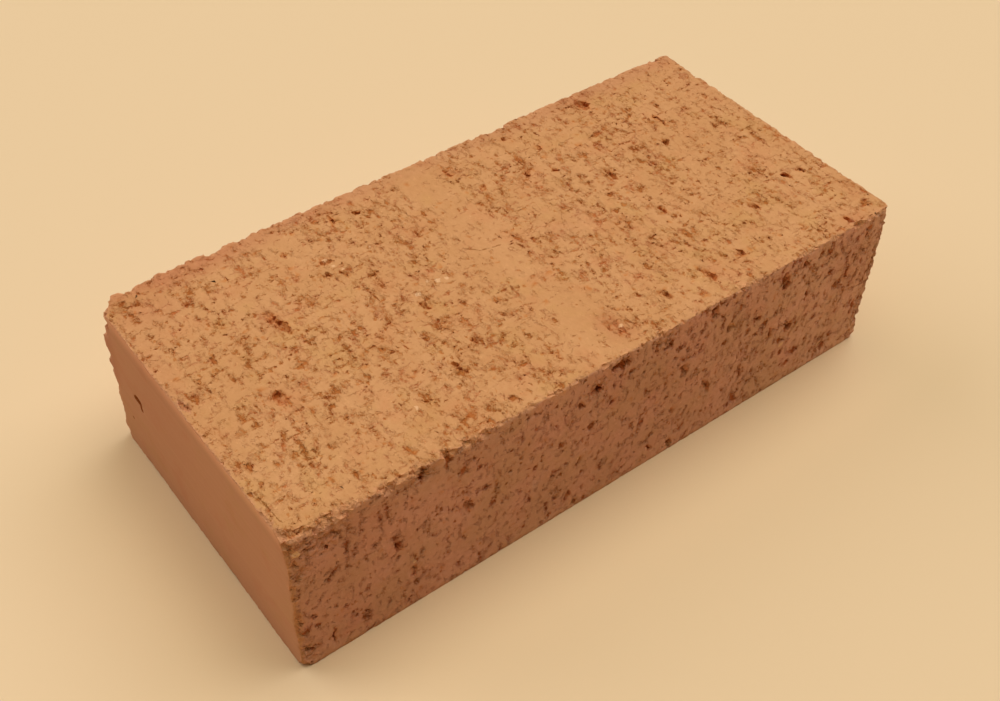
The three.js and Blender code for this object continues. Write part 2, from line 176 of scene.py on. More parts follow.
# Which arrises along the length stayed crisp, and from where to where, how far in from there they
# are wholly so, and how much of the way to a sharp arris they are filled out.
CRISP_ARRISES = [((0, -1, -1), -130, 130), ((0, 1, 1), 42, 118)]
CRISP_ENDS = 5
CRISP_SHARE = 0.85

# What breaks off the arrises, from the large chips to the crumbs: the scale, the detail and the
# place of its noise, from and to which noise it breaks, and how wide it is at the two.
ARRIS_BREAKS = [
    (0.10, 3.0, (3, 60, 8), 0.54, 0.72, 0.0, 2.2),
    (0.30, 3.0, (8, 1, 30), 0.54, 0.75, 0.0, 1.6),
    (0.8, 2.0, (5, 5, 2), 0.40, 0.75, 0.03, 0.45),
]

# In the noise, the two faces of a pair lie this far to either side, and the stretchers this far
# from the beds.
PAIR_APART = 20.0
STRETCHERS_APART = 60.0

# How much the tears are strung out across the drag.
ACROSS_BEDS = -0.03
ACROSS_STRETCHERS = -0.10

# How much shorter the tears of the stretchers are than those of the beds.
STRETCHER_SQUAT = 1.3

# How many flaps of skin lie over each other from the lowest level to the highest.
FLAP_LEVELS = 7.0

# Farther than any mark reaches.
FAR_OFF = 9.0

# How near to an arris a point counts as broken: wholly within the first distance, and less and
# less from there to the second.
ARRIS_REACH = (2.5, 4.5)

# How far a point has to tilt off its face to begin to count as broken and as the wall of a tear,
# which takes painted shade, and how much farther to count wholly.
BROKEN_TILT = (0.05, 0.15)
WALL_TILT = (0.06, 0.34)

# The ragged slit in the left header, in three parts, and the dimple under it: each from end to
# end, and half of how wide it is.
SLIT = [
    ((40.2, 35.6), (37.7, 35.8), 1.35), ((37.4, 34.6), (37.3, 32.5), 0.7),
    ((41.5, 35.2), (40.2, 35.4), 0.7), ((49.0, 18.8), (48.6, 18.4), 0.2),
]

# How deep they go in, and how far out their sides slope.
SLIT_DEPTH = 0.9
SLIT_SLOPE = 0.6

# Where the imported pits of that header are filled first, widthwise and upright, from and to, and
# how deep the deepest of them can be.
FILLED = [(34, 52), (15, 42)]
PIT_DEPTH = 3

# The hairline cracks in the upper bed, from end to end.
CRACKS = [
    ((-12.6, 11.0), (-8.6, 6.6)), ((-8.6, 6.6), (-1.2, 4.9)), ((-122.6, -38.0), (-121.8, -53.0)),
]

# Where the fire turned the upper bed redder: where, how far each way, and how much.
BLUSHES = [
    (-95, 58, 40, 8, 1.0), (-112, 48, 12, 12, 0.55), (-50, 59, 28, 5, 0.45), (75, 57, 50, 7, 0.25),
    (4, -48, 6, 8, 0.6), (119, 40, 8, 18, 0.2), (-84, 18, 4, 8, 0.4), (-98, -12, 5, 6, 0.35),
    (25, 2, 10, 8, 0.3), (8, 47, 5, 6, 0.35), (107, -57, 12, 5, 0.35), (48, -48, 4, 7, 0.35),
    (-122, 20, 4, 26, 0.3),
]

# The clay of a bed and of a stretcher, each of which turns from one colour to the other in soft
# clouds, of the headers' die skin, of a broken arris, of a flake, and of the grit.
BED_CLAY = ((0.672, 0.316, 0.129), (0.642, 0.297, 0.116))
STRETCHER_CLAY = ((0.674, 0.308, 0.197), (0.612, 0.292, 0.169))
HEADER_CLAY = (0.575, 0.268, 0.136)
BROKEN_CLAY = ((0.60, 0.255, 0.118), (0.69, 0.310, 0.145))
FLAKE_CLAY = (0.74, 0.43, 0.27)
GRIT = (0.84, 0.46, 0.23)

# What a mark multiplies the clay's colour by. Some of these paint light or shade into the colour:
# bounce light on the front's foot, highlights on crumbs and on the lips of flaps, and shade between
# crumbs and lumps, under flaps, on the rims of tears and, together with the redder clay inside it,
# in the slit.
TINTS = {
    "rust": (0.99, 0.93, 0.92),
    "rubbed lip": (1.28, 1.30, 1.35),
    "far edge": (0.95, 0.92, 0.96),
    "olive": (0.98, 1.005, 0.94),
    "blush": (0.89, 0.74, 0.78),
    "right end": (1.17, 1.26, 1.28),
    "left end": (0.93, 0.91, 0.89),
    # Bounce light from the floor, painted on the front stretcher's foot.
    "painted floor bounce": (1.15, 1.18, 1.17),
    "dark sand": (0.95, 0.93, 0.91),
    "pale sand": (1.07, 1.09, 1.12),
    "hollow": (0.955, 0.875, 0.785),
    "rosy hollow": (1.0, 0.92, 0.99),
    # Shade painted into the gaps between crumbs.
    "painted shade between crumbs": (0.88, 0.78, 0.68),
    # A highlight painted on the tops of crumbs.
    "painted highlight on a crumb": (1.04, 1.06, 1.07),
    "deep": (0.98, 0.93, 0.86),
    "high up": (1.13, 1.15, 1.10),
    # Shade painted between the lumps of crumbled clay.
    "painted shade between lumps": (0.85, 0.80, 0.66),
    # Shade painted at the foot of a flap's edge.
    "painted shade under a flap": (0.70, 0.43, 0.28),
    # A highlight painted on the lip of a flap.
    "painted highlight on a flap lip": (1.07, 1.09, 1.11),
    # Shade painted on the rims of the tears.
    "painted_rim_shade": (0.95, 0.80, 0.62),
    # The slit's dark red-brown: partly the redder clay inside, partly painted shade.
    "slit": (0.50, 0.27, 0.09),
    "crack": (0.70, 0.58, 0.42),
}

# The same where it differs by face: on a stretcher or a header, and on a bed. The specks' tint is
# partly a painted highlight, and the walls' tint is painted shade.
FACE_TINTS = {
    # Pale specks by the crumbs: partly pale grains, partly painted highlights.
    "speck": ((1.24, 1.32, 1.36), (1.14, 1.19, 1.22)),
    # Shade painted on the walls of tears, reddened as by light bounced inside them.
    "painted shade on walls": ((0.94, 0.765, 0.565), (0.91, 0.67, 0.43)),
    "torn": ((0.815, 0.585, 0.35), (0.785, 0.63, 0.43)),
}

# How far the floor goes on each way, in metres, and its colour, also as seen beyond it.
FLOOR_REACH = 40
PAPER = (0.845, 0.603, 0.356, 1)
PAPER_FAR_OFF = (0.80, 0.578, 0.333, 1)

# The light of the room, from all round.
ROOM_LIGHT = (1, 1, 0.4, 1)
ROOM_STRENGTH = 0.09

# The broad soft lights: the bearing round from the right and the height, both in degrees, the
# strength and the colour, and how broad in degrees each of them is.
SUNS = {
    "overhead": (0, 90, 0.355, (1, 1, 0.82)),
    "right": (0, 60, 0.425, (1, 1, 1.12)),
    "back_left": (120, 30, 0.318, (1, 1, 1.18)),
}
SUN_BREADTH = 50


# --- the surface ---------------------------------------------------------------------------------


def in_scene(name, data):
    """A new object of that name in the scene."""
    thing = bpy.data.objects.new(name, data)
    bpy.context.scene.collection.objects.link(thing)
    return thing


def settled(piece):
    """Leaves the piece with its modifiers worked into its mesh."""
    depsgraph = bpy.context.evaluated_depsgraph_get()
    worked = bpy.data.meshes.new_from_object(piece.evaluated_get(depsgraph))
    piece.modifiers.clear()
    rough = piece.data
    piece.data = worked
    bpy.data.meshes.remove(rough)


def taken_up_surface():
    """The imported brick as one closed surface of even, fine faces."""
    clay = bmesh.new()
    clay.from_mesh(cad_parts["brick"].data)
    bmesh.ops.remove_doubles(clay, verts=clay.verts, dist=0.001 * MM)
    mesh = bpy.data.meshes.new("fired_brick")
    clay.to_mesh(mesh)
    clay.free()
    brick = in_scene("fired_brick", mesh)
    remesh = brick.modifiers.new("even faces", "REMESH")
    remesh.mode = "VOXEL"
    remesh.voxel_size = SURFACE_SPACING * MM
    settled(brick)
    return brick


def points_of(mesh):
    """The mesh's points in millimetres from the brick's middle."""
    points = np.empty(len(mesh.vertices) * 3)
    mesh.vertices.foreach_get("co", points)
    return points.reshape(-1, 3) / MM - MIDDLE


def put_points(mesh, points):
    mesh.vertices.foreach_set("co", ((points + MIDDLE) * MM).ravel())
    mesh.update()


# --- what the maker and the fire left, point by point --------------------------------------------


def patches(u, v, rows):
    """The rows' soft-edged ovals over places u and v, from 0 outside them to 1 in the middle."""
    cover = np.zeros(len(u))
    for at_u, at_v, width, length in rows:
        reach_u, reach_v = width / 2 + SOFT_EDGE, length / 2 + SOFT_EDGE
        far = np.hypot((u - at_u) / reach_u, (v - at_v) / reach_v)
        cover = np.maximum(cover, np.clip(1.5 - far, 0, 1))
    return cover


def faces_of(points):
    """How far the points are under each pair of faces, which pair is the nearest, and which
    points are on the upper bed and on the front stretcher."""
    under = HALF - np.abs(points)
    facing = np.argmin(under, axis=1)
    upper_bed = (facing == UPRIGHT) & (points[:, UPRIGHT] > 0)
    front = (facing == WIDTHWISE) & (points[:, WIDTHWISE] < 0)
    return under, facing, upper_bed, front


def note(mesh, name, values):
    column = mesh.attributes.get(name) or mesh.attributes.new(name, "FLOAT", "POINT")
    column.data.foreach_set("value", values)


def note_marks(mesh):
    """Notes on each point how much it tore, crumbled, broke and reddened, and how steep it is."""
    points = points_of(mesh)
    x, y, z = points.T
    height = z + HALF[UPRIGHT]
    under, facing, upper_bed, front = faces_of(points)
    pull = BED_PULL * upper_bed * patches(x, y, BED_TEARS)
    pull += STRETCHER_PULL * front * patches(x, height, STRETCHER_TEARS)
    pull += front * (RIGHT_END_PULL * np.clip(x / RIGHT_END, 0, 1) + LEFT_END_PULL)
    band = np.clip((QUIET_BAND.reach - np.abs(x - QUIET_BAND.at)) / QUIET_BAND.edge, 0, 1)
    pull -= QUIET_BAND.less * band * (facing == UPRIGHT) * (pull <= 0)
    pull[facing == LENGTHWISE] = -1
    note(mesh, "pull", pull)
    note(mesh, "crumbled", front * patches(x, height, CRUMBLED))
    blush = np.zeros(len(x))
    for at_x, at_y, reach_x, reach_y, strength in BLUSHES:
        far = np.hypot((x - at_x) / reach_x, (y - at_y) / reach_y)
        blush = np.maximum(blush, strength * np.clip(1.3 - far, 0, 1))
    note(mesh, "blush", blush * (z > 0))
    normals = np.empty(len(mesh.vertices) * 3)
    mesh.vertex_normals.foreach_get("vector", normals)
    normals = normals.reshape(-1, 3)
    tilt = 1 - np.abs(normals[np.arange(len(points)), facing])
    whole, none = ARRIS_REACH
    near_arris = np.clip((none - np.sort(under, axis=1)[:, 1]) / (none - whole), 0, 1)
    for name, share, (least, more) in (
        ("broken", near_arris, BROKEN_TILT),
        ("steep", 1 - near_arris, WALL_TILT),
    ):
        note(mesh, name, share * np.clip((tilt - least) / more, 0, 1))


def note_wear(mesh):
    """Notes on each point how much the arris that it is nearest to broke."""
    points = points_of(mesh)
    nearest = np.argsort(HALF - np.abs(points), axis=1)
    wear = np.ones(len(points))
    for sides, amount in ARRIS_WEAR.items():
        of_arris = np.ones(len(points), bool)
        for axis, side in enumerate(sides):
            if side:
                of_arris &= (nearest[:, :2] == axis).any(axis=1)
                of_arris &= points[:, axis] * side > 0
        wear[of_arris] = amount
    note(mesh, "wear", wear)


def bite_arrises(mesh):
    """Knocks the larger bites out of the arrises."""
    points = points_of(mesh)
    for x, y, height, reach, width in ARRIS_BITES:
        place = np.array((x, y, height - HALF[UPRIGHT]))
        *pair, along = np.argsort(HALF - np.abs(place))
        off = np.abs(points[:, along] - place[along])
        cut = width * np.clip(BITE_BLUNTNESS - BITE_BLUNTNESS * off / reach, 0, 1)
        near = (points[:, pair] * place[pair] > 0).all(axis=1)
        under = HALF[pair] - np.abs(points[:, pair])
        inside = np.clip(cut - under.sum(axis=1), 0, None) / 2 * near
        points[:, pair] -= np.sign(place[pair]) * inside[:, None]
    put_points(mesh, points)


def sink_slit(mesh):
    """Fills the left header's packed pits, and sinks the slit and the dimple into it."""
    points = points_of(mesh)
    places = points[:, (WIDTHWISE, UPRIGHT)] + (0, HALF[UPRIGHT])
    pitted = points[:, LENGTHWISE] < PIT_DEPTH - HALF[LENGTHWISE]
    for place, (low, high) in zip(places.T, FILLED):
        pitted &= (place > low) & (place < high)
    points[pitted, LENGTHWISE] = -HALF[LENGTHWISE]
    sunk = np.zeros(len(points))
    for start, end, half_width in SLIT:
        run = np.subtract(end, start)
        along = np.clip((places - start) @ run / (run @ run), 0, 1)
        off = np.linalg.norm(places - start - along[:, None] * run, axis=1)
        sunk = np.maximum(sunk, np.clip((half_width + 0.1 - off) / SLIT_SLOPE, 0, 1))
    under = points[:, LENGTHWISE] + HALF[LENGTHWISE]
    points[:, LENGTHWISE] += sunk * np.clip(SLIT_DEPTH - under, 0, None)
    put_points(mesh, points)


def fill_crisp_arrises(mesh):
    """Fills out the arrises that stayed crisp."""
    points = points_of(mesh)
    for sides, low, high in CRISP_ARRISES:
        pair = [axis for axis in range(3) if sides[axis]]
        side = np.array(sides)[pair]
        x = points[:, LENGTHWISE]
        under = HALF[pair] - points[:, pair] * side
        within = np.clip(np.minimum(x - low, high - x) / CRISP_ENDS, 0, 1)
        crisp = np.clip(1.8 - under.sum(axis=1) / 1.6, 0, CRISP_SHARE) * within
        points[:, pair] += side * under * crisp[:, None]
    put_points(mesh, points)


def raise_grit(mesh):
    """Lifts the grains of grit out of the tears they sit in, no higher than the face."""
    points = points_of(mesh)
    x, y, z = points.T
    height = z + HALF[UPRIGHT]
    under, _, upper_bed, front = faces_of(points)
    for mask, v, axis, side, rows in (
        (upper_bed, y, UPRIGHT, 1, BED_GRIT),
        (front, height, WIDTHWISE, -1, STRETCHER_GRIT),
    ):
        lift = np.zeros(len(x))
        for at_u, at_v, width in rows:
            far = np.hypot(x - at_u, v - at_v) / (width / 2)
            lift = np.maximum(lift, width / 2 * np.sqrt(np.clip(1 - far**2, 0, 1)))
        lift = np.minimum(lift, np.clip(under[:, axis] - GRIT_UNDER, 0, None)) * mask
        points[:, axis] += side * lift
    put_points(mesh, points)


# --- nodes ---------------------------------------------------------------------------------------


def placed(tree, kind, inputs=None, **settings):
    """A node of that kind with its settings, and its inputs set or linked."""
    node = tree.nodes.new(kind)
    for name, value in settings.items():
        setattr(node, name, value)
    for socket, value in (inputs or {}).items():
        if isinstance(value, bpy.types.NodeSocket):
            tree.links.new(value, node.inputs[socket])
        else:
            node.inputs[socket].default_value = value
    return node


def maths(tree, operation, *values):
    return placed(tree, "ShaderNodeMath", dict(enumerate(values)), operation=operation).outputs[0]


def vectors(tree, operation, *values):
    node = placed(tree, "ShaderNodeVectorMath", dict(enumerate(values)), operation=operation)
    return node.outputs[0]


def scaled(tree, vector, factor):
    node = placed(tree, "ShaderNodeVectorMath", {0: vector, "Scale": factor}, operation="SCALE")
    return node.outputs[0]


def ramp(tree, value, low, high, to_low=0.0, to_high=1.0):
    """The value turned smoothly from one range into another."""
    node = placed(
        tree,
        "ShaderNodeMapRange",
        {"Value": value, "From Min": low, "From Max": high, "To Min": to_low, "To Max": to_high},
        interpolation_type="SMOOTHSTEP",
    )
    return node.outputs[0]


def grain(tree, place, scale, detail=2.0, roughness=0.5, stretch=(1, 1, 1), shift=(0, 0, 0)):
    """Noise from 0 to 1 about 0.5, of features 1 / scale wide."""
    place = vectors(tree, "MULTIPLY_ADD", place, stretch, shift)
    node = placed(
        tree,
        "ShaderNodeTexNoise",
        {"Vector": place, "Scale": scale, "Detail": detail, "Roughness": roughness},
    )
    return node.outputs[0]


def wandering(tree, place, scale, detail, reach):
    """An offset that wanders each way by up to about a quarter of the reach."""
    node = placed(tree, "ShaderNodeTexNoise", {"Vector": place, "Scale": scale, "Detail": detail})
    off = vectors(tree, "SUBTRACT", node.outputs["Color"], (0.5, 0.5, 0.5))
    return scaled(tree, off, reach)


def apart(tree, vector):
    return placed(tree, "ShaderNodeSeparateXYZ", {0: vector}).outputs


def together(tree, x, y, z):
    return placed(tree, "ShaderNodeCombineXYZ", {0: x, 1: y, 2: z}).outputs[0]


def cells(tree, place, scale, stretch, shift):
    """How far the middle of the nearest of some scattered cells is, and two chances of its own."""
    place = vectors(tree, "MULTIPLY_ADD", place, stretch, shift)
    node = placed(tree, "ShaderNodeTexVoronoi", {"Vector": place, "Scale": scale})
    first, second, _ = apart(tree, node.outputs["Color"])
    return node.outputs["Distance"], first, second


def torn_clay(tree, place, pull, across):
    """The tears of the drag at a place across it, along it and by face.

    More pull tears more, and the larger across is, the more of it is strung out across the drag.
    Gives the tears, from 0 on the skin to 1 at their bottom, and the softer hollows round them.
    """
    place = vectors(tree, "ADD", place, wandering(tree, place, 1.0, 2.0, 1.3))
    crowd = grain(tree, place, 0.10, 2.5, 0.6, (1.2, 0.5, 1), (20, 9, 4))
    crowd = maths(tree, "MULTIPLY_ADD", maths(tree, "SUBTRACT", crowd, 0.5), 0.2, pull)
    pits = grain(tree, place, 0.42, 4.0, 0.70, (1, 0.5, 1))
    strung = grain(tree, place, 0.5, 3.0, 0.62, (0.5, 1, 1), (50, 3, 8))
    force = maths(tree, "MAXIMUM", pits, maths(tree, "ADD", strung, across))
    force = maths(tree, "ADD", force, crowd)
    line = grain(tree, place, 0.33, 2.5, 0.55, (1, 0.4, 1), (7, 31, 2))
    line = maths(tree, "ABSOLUTE", maths(tree, "SUBTRACT", line, 0.5))
    broken = maths(tree, "ADD", grain(tree, place, 0.4, 2.0, 0.5, (1, 1, 1), (31, 7, 3)), crowd)
    hooks = maths(tree, "MULTIPLY", ramp(tree, line, 0.022, 0.002), ramp(tree, broken, 0.55, 0.66))
    shaken = vectors(tree, "ADD", place, wandering(tree, place, 1.9, 1.0, 1.4))
    away, chance, size = cells(tree, shaken, 0.7, (1, 0.65, 1), (9, 4, 7))
    likely = grain(tree, place, 0.32, 2.0, 0.55, (1.2, 0.35, 1), (30, 17, 5))
    forced = maths(tree, "SUBTRACT", force, 0.03)
    likely = maths(tree, "MAXIMUM", maths(tree, "ADD", likely, crowd), forced)
    likely = ramp(tree, likely, 0.50, 0.68, 0.0, 0.5)
    crumbs = ramp(tree, maths(tree, "SUBTRACT", likely, chance), 0.0, 0.05)
    crumbs = maths(tree, "MULTIPLY", crumbs, ramp(tree, away, 0.52, 0.22))
    crumbs = maths(tree, "MULTIPLY", crumbs, ramp(tree, size, 0.0, 1.0, 0.3, 1.0))
    reach = grain(tree, place, 0.22, 1.5, 0.5, (1, 0.7, 1), (70, 40, 60))
    reach = maths(tree, "MULTIPLY_ADD", crowd, 1.5, reach)
    tears = ramp(tree, force, 0.612, 0.674)
    tears = maths(tree, "MAXIMUM", tears, maths(tree, "MULTIPLY", hooks, 0.5))
    tears = maths(tree, "MULTIPLY", tears, ramp(tree, reach, 0.38, 0.66, 0.35, 1.0))
    return maths(tree, "MAXIMUM", tears, crumbs), ramp(tree, force, 0.51, 0.635)


def flaps(tree, place, pull):
    """The edges of the thin skin that the drag lifted in flaps.

    Gives how far a place is up the back of its flap, from 0 at one edge to 1 at the next, and how
    much the skin lifted there.
    """
    place = vectors(tree, "ADD", place, wandering(tree, place, 0.8, 2.0, 1.6))
    level = grain(tree, place, 0.15, 3.0, 0.55, (1, 0.55, 1), (12, 5, 40))
    up = maths(tree, "FRACT", maths(tree, "MULTIPLY", level, FLAP_LEVELS))
    spread = grain(tree, place, 0.11, 1.5, 0.5, (1, 0.8, 1), (90, 12, 3))
    broken = grain(tree, place, 0.38, 2.0, 0.5, (1, 0.7, 1), (33, 61, 9))
    lifted = maths(tree, "ADD", maths(tree, "MULTIPLY_ADD", spread, 0.7, pull), broken)
    return up, ramp(tree, lifted, 0.83, 0.98)


def off_line(tree, place, start, end):
    """How far a place is from the straight line between two others."""
    start, end = Vector((*start, 0)), Vector((*end, 0))
    run = end - start
    from_start = vectors(tree, "SUBTRACT", place, start)
    dot = placed(tree, "ShaderNodeVectorMath", {0: from_start, 1: run}, operation="DOT_PRODUCT")
    along = placed(
        tree,
        "ShaderNodeMath",
        {0: dot.outputs["Value"], 1: run.length_squared},
        operation="DIVIDE",
        use_clamp=True,
    ).outputs[0]
    off = vectors(tree, "SUBTRACT", from_start, scaled(tree, run, along))
    return placed(tree, "ShaderNodeVectorMath", {0: off}, operation="LENGTH").outputs["Value"]


def off_grit(tree, place, rows):
    """How far a place is outside the nearest of the grains of grit."""
    nearest = FAR_OFF
    for at_u, at_v, width in rows:
        node = placed(
            tree, "ShaderNodeVectorMath", {0: place, 1: (at_u, at_v, 0)}, operation="DISTANCE"
        )
        outside = maths(tree, "SUBTRACT", node.outputs["Value"], width / 2)
        nearest = maths(tree, "MINIMUM", nearest, outside)
    return nearest


def on_the_brick(tree, metres):
    """Where a point is from the brick's middle, how far it is under each pair of faces, and under
    the nearest and the second nearest of them."""
    from_middle = vectors(tree, "SUBTRACT", scaled(tree, metres, 1 / MM), tuple(MIDDLE))
    under = [
        maths(tree, "SUBTRACT", half, maths(tree, "ABSOLUTE", at))
        for half, at in zip(HALF, apart(tree, from_middle))
    ]
    first = maths(tree, "MINIMUM", maths(tree, "MINIMUM", under[0], under[1]), under[2])
    largest = maths(tree, "MAXIMUM", maths(tree, "MAXIMUM", under[0], under[1]), under[2])
    total = maths(tree, "ADD", maths(tree, "ADD", under[0], under[1]), under[2])
    second = maths(tree, "SUBTRACT", maths(tree, "SUBTRACT", total, first), largest)
    return from_middle, under, first, second


def places_on_faces(tree, from_middle):
    """A point's places on a bed and on a stretcher, as torn_clay takes them."""
    x, y, z = apart(tree, from_middle)
    bed_side = maths(tree, "MULTIPLY", maths(tree, "SIGN", z), PAIR_APART)
    side = maths(tree, "SIGN", y)
    stretcher_side = maths(tree, "MULTIPLY_ADD", side, PAIR_APART, STRETCHERS_APART)
    squat = maths(tree, "MULTIPLY", z, STRETCHER_SQUAT)
    return together(tree, x, y, bed_side), together(tree, x, squat, stretcher_side)


def lumps(tree, place):
    """The lumps that crumbled clay breaks into, from 0 on top of them to 1 between them."""
    return ramp(tree, grain(tree, place, 0.55, 2.0, 0.6, shift=(2, 9, 6)), 0.42, 0.62)


def depth_of_tear(tree, first, second):
    """How deep a point is in a tear, which a worn arris isn't."""
    return maths(tree, "SUBTRACT", first, ramp(tree, second, 3.5, 0.8, 0.0, 1.0))


def pull_of(tree, deep, noted):
    """The noted pull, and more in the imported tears, which are torn all over inside."""
    return maths(tree, "ADD", noted, ramp(tree, deep, 0.45, 1.6, 0.0, 0.05))


# --- tears and arrises ---------------------------------------------------------------------------


def moved(tree, geometry, millimetres):
    offset = scaled(tree, millimetres, MM)
    node = placed(tree, "GeometryNodeSetPosition", {"Geometry": geometry, "Offset": offset})
    return node.outputs[0]


def noted_value(tree, name):
    node = placed(tree, "GeometryNodeInputNamedAttribute", {"Name": name}, data_type="FLOAT")
    return node.outputs["Attribute"]


def uneven(tree, geometry):
    """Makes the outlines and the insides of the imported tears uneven, and leaves the skin flat."""
    metres = placed(tree, "GeometryNodeInputPosition").outputs[0]
    from_middle, under, _, _ = on_the_brick(tree, metres)
    shift = vectors(
        tree,
        "ADD",
        wandering(tree, from_middle, 0.38, 1.0, 3.4),
        wandering(tree, from_middle, 1.1, 1.0, 1.5),
    )
    loose = [ramp(tree, depth, 0.0, 0.5, 0.1, 1.0) for depth in under]
    header = ramp(tree, under[LENGTHWISE], 0.1, 0.8, 0.15, 1.0)
    across = [maths(tree, "MULTIPLY", header, part) for part in loose[1:]]
    shift = vectors(tree, "MULTIPLY", shift, together(tree, loose[0], *across))
    return moved(tree, geometry, shift)


def broken_arrises(tree, geometry):
    """Cuts the arrises back by an uneven bevel, as wide as the clay crumbled."""
    metres = placed(tree, "GeometryNodeInputPosition").outputs[0]
    from_middle, under, first, second = on_the_brick(tree, metres)
    width = 0.0
    for scale, detail, shift, *turned in ARRIS_BREAKS:
        breaks = grain(tree, from_middle, scale, detail, 0.6, shift=shift)
        width = maths(tree, "ADD", width, ramp(tree, breaks, *turned))
    width = maths(tree, "MULTIPLY", width, noted_value(tree, "wear"))
    inside = maths(tree, "SUBTRACT", maths(tree, "SUBTRACT", width, first), second)
    back = maths(tree, "MULTIPLY", maths(tree, "MAXIMUM", inside, 0.0), 0.5)
    nearest = maths(tree, "ADD", second, 0.001)
    steps = []
    for depth, at in zip(under, apart(tree, from_middle)):
        inward = maths(tree, "MULTIPLY", maths(tree, "SIGN", at), -1.0)
        of_arris = maths(tree, "LESS_THAN", depth, nearest)
        steps.append(maths(tree, "MULTIPLY", maths(tree, "MULTIPLY", inward, of_arris), back))
    return moved(tree, geometry, together(tree, *steps))


def torn_faces(tree, geometry):
    """Sinks the tears of the drag into the beds and the stretchers, and crumbles the front."""
    metres = placed(tree, "GeometryNodeInputPosition").outputs[0]
    from_middle, under, first, second = on_the_brick(tree, metres)
    pull = pull_of(tree, depth_of_tear(tree, first, second), noted_value(tree, "pull"))
    on_bed, on_stretcher = places_on_faces(tree, from_middle)
    _, y, z = apart(tree, from_middle)
    crumbled = maths(tree, "MULTIPLY", lumps(tree, from_middle), noted_value(tree, "crumbled"))
    sunk = {}
    for axis, place, at, across, more in (
        (UPRIGHT, on_bed, z, ACROSS_BEDS, 0.0),
        (WIDTHWISE, on_stretcher, y, ACROSS_STRETCHERS, crumbled),
    ):
        tears, _ = torn_clay(tree, place, pull, across)
        depth = maths(tree, "MULTIPLY", tears, TEAR_DEPTH)
        depth = maths(tree, "MULTIPLY_ADD", more, CRUMBLED_DEPTH, depth)
        depth = maths(tree, "MULTIPLY", depth, ramp(tree, under[axis], 3.0, 0.5))
        inward = maths(tree, "MULTIPLY", maths(tree, "SIGN", at), -1.0)
        sunk[axis] = maths(tree, "MULTIPLY", depth, inward)
    return moved(tree, geometry, together(tree, 0.0, sunk[WIDTHWISE], sunk[UPRIGHT]))


def drag_and_handling():
    tree = bpy.data.node_groups.new("drag_and_handling", "GeometryNodeTree")
    tree.interface.new_socket("Geometry", in_out="INPUT", socket_type="NodeSocketGeometry")
    tree.interface.new_socket("Geometry", in_out="OUTPUT", socket_type="NodeSocketGeometry")
    geometry = tree.nodes.new("NodeGroupInput").outputs[0]
    for step in (uneven, broken_arrises, torn_faces):
        geometry = step(tree, geometry)
    tree.links.new(geometry, tree.nodes.new("NodeGroupOutput").inputs[0])
    return tree


def torn_brick():
    brick = taken_up_surface()
    bite_arrises(brick.data)
    fill_crisp_arrises(brick.data)
    sink_slit(brick.data)
    raise_grit(brick.data)
    note_marks(brick.data)
    note_wear(brick.data)
    worked = brick.modifiers.new("drag and handling", "NODES")
    worked.node_group = drag_and_handling()
    settled(brick)
    thin = brick.modifiers.new("fewer faces", "DECIMATE")
    triangles = sum(len(face.vertices) - 2 for face in brick.data.polygons)
    thin.ratio = min(1, MOST_TRIANGLES / triangles)
    settled(brick)
    put_points(brick.data, np.clip(points_of(brick.data), -HALF, HALF))
    note_marks(brick.data)
    for polygon in brick.data.polygons:
        polygon.use_smooth = True
    brick.data.set_sharp_from_angle(angle=np.radians(CREASE_ANGLE))
    return brick


# --- clay ----------------------------------------------------------------------------------------


def mixed(tree, factor, first, second, kind="RGBA", blend="MIX"):
    """One colour turned into another by a factor from 0 to 1, or one vector into another."""
    factor_at, first_at, second_at, out_at = {"RGBA": (0, 6, 7, 2), "VECTOR": (0, 4, 5, 1)}[kind]
    node = placed(tree, "ShaderNodeMix", {factor_at: factor}, data_type=kind, blend_type=blend)
    for socket, value in ((first_at, first), (second_at, second)):
        if isinstance(value, bpy.types.NodeSocket):
            tree.links.new(value, node.inputs[socket])
        else:
            node.inputs[socket].default_value = (*value, 1) if kind == "RGBA" else value
    return node.outputs[out_at]


def mixed_value(tree, factor, first, second):
    """One number turned into another by a factor from 0 to 1."""
    node = placed(tree, "ShaderNodeMix", {0: factor, 2: first, 3: second}, data_type="FLOAT")
    return node.outputs[0]


def tinted(tree, amount, colour, mark):
    """The colour multiplied by a mark's tint, as far as the amount says."""
    return mixed(tree, amount, colour, TINTS[mark], blend="MULTIPLY")


def tinted_by_face(tree, at, amount, colour, mark):
    """The same, with the tint that the mark has on that kind of face."""
    tint = mixed(tree, at.of_bed, *FACE_TINTS[mark])
    return mixed(tree, amount, colour, tint, blend="MULTIPLY")


def noted_mark(tree, name):
    return placed(tree, "ShaderNodeAttribute", attribute_name=name).outputs["Fac"]


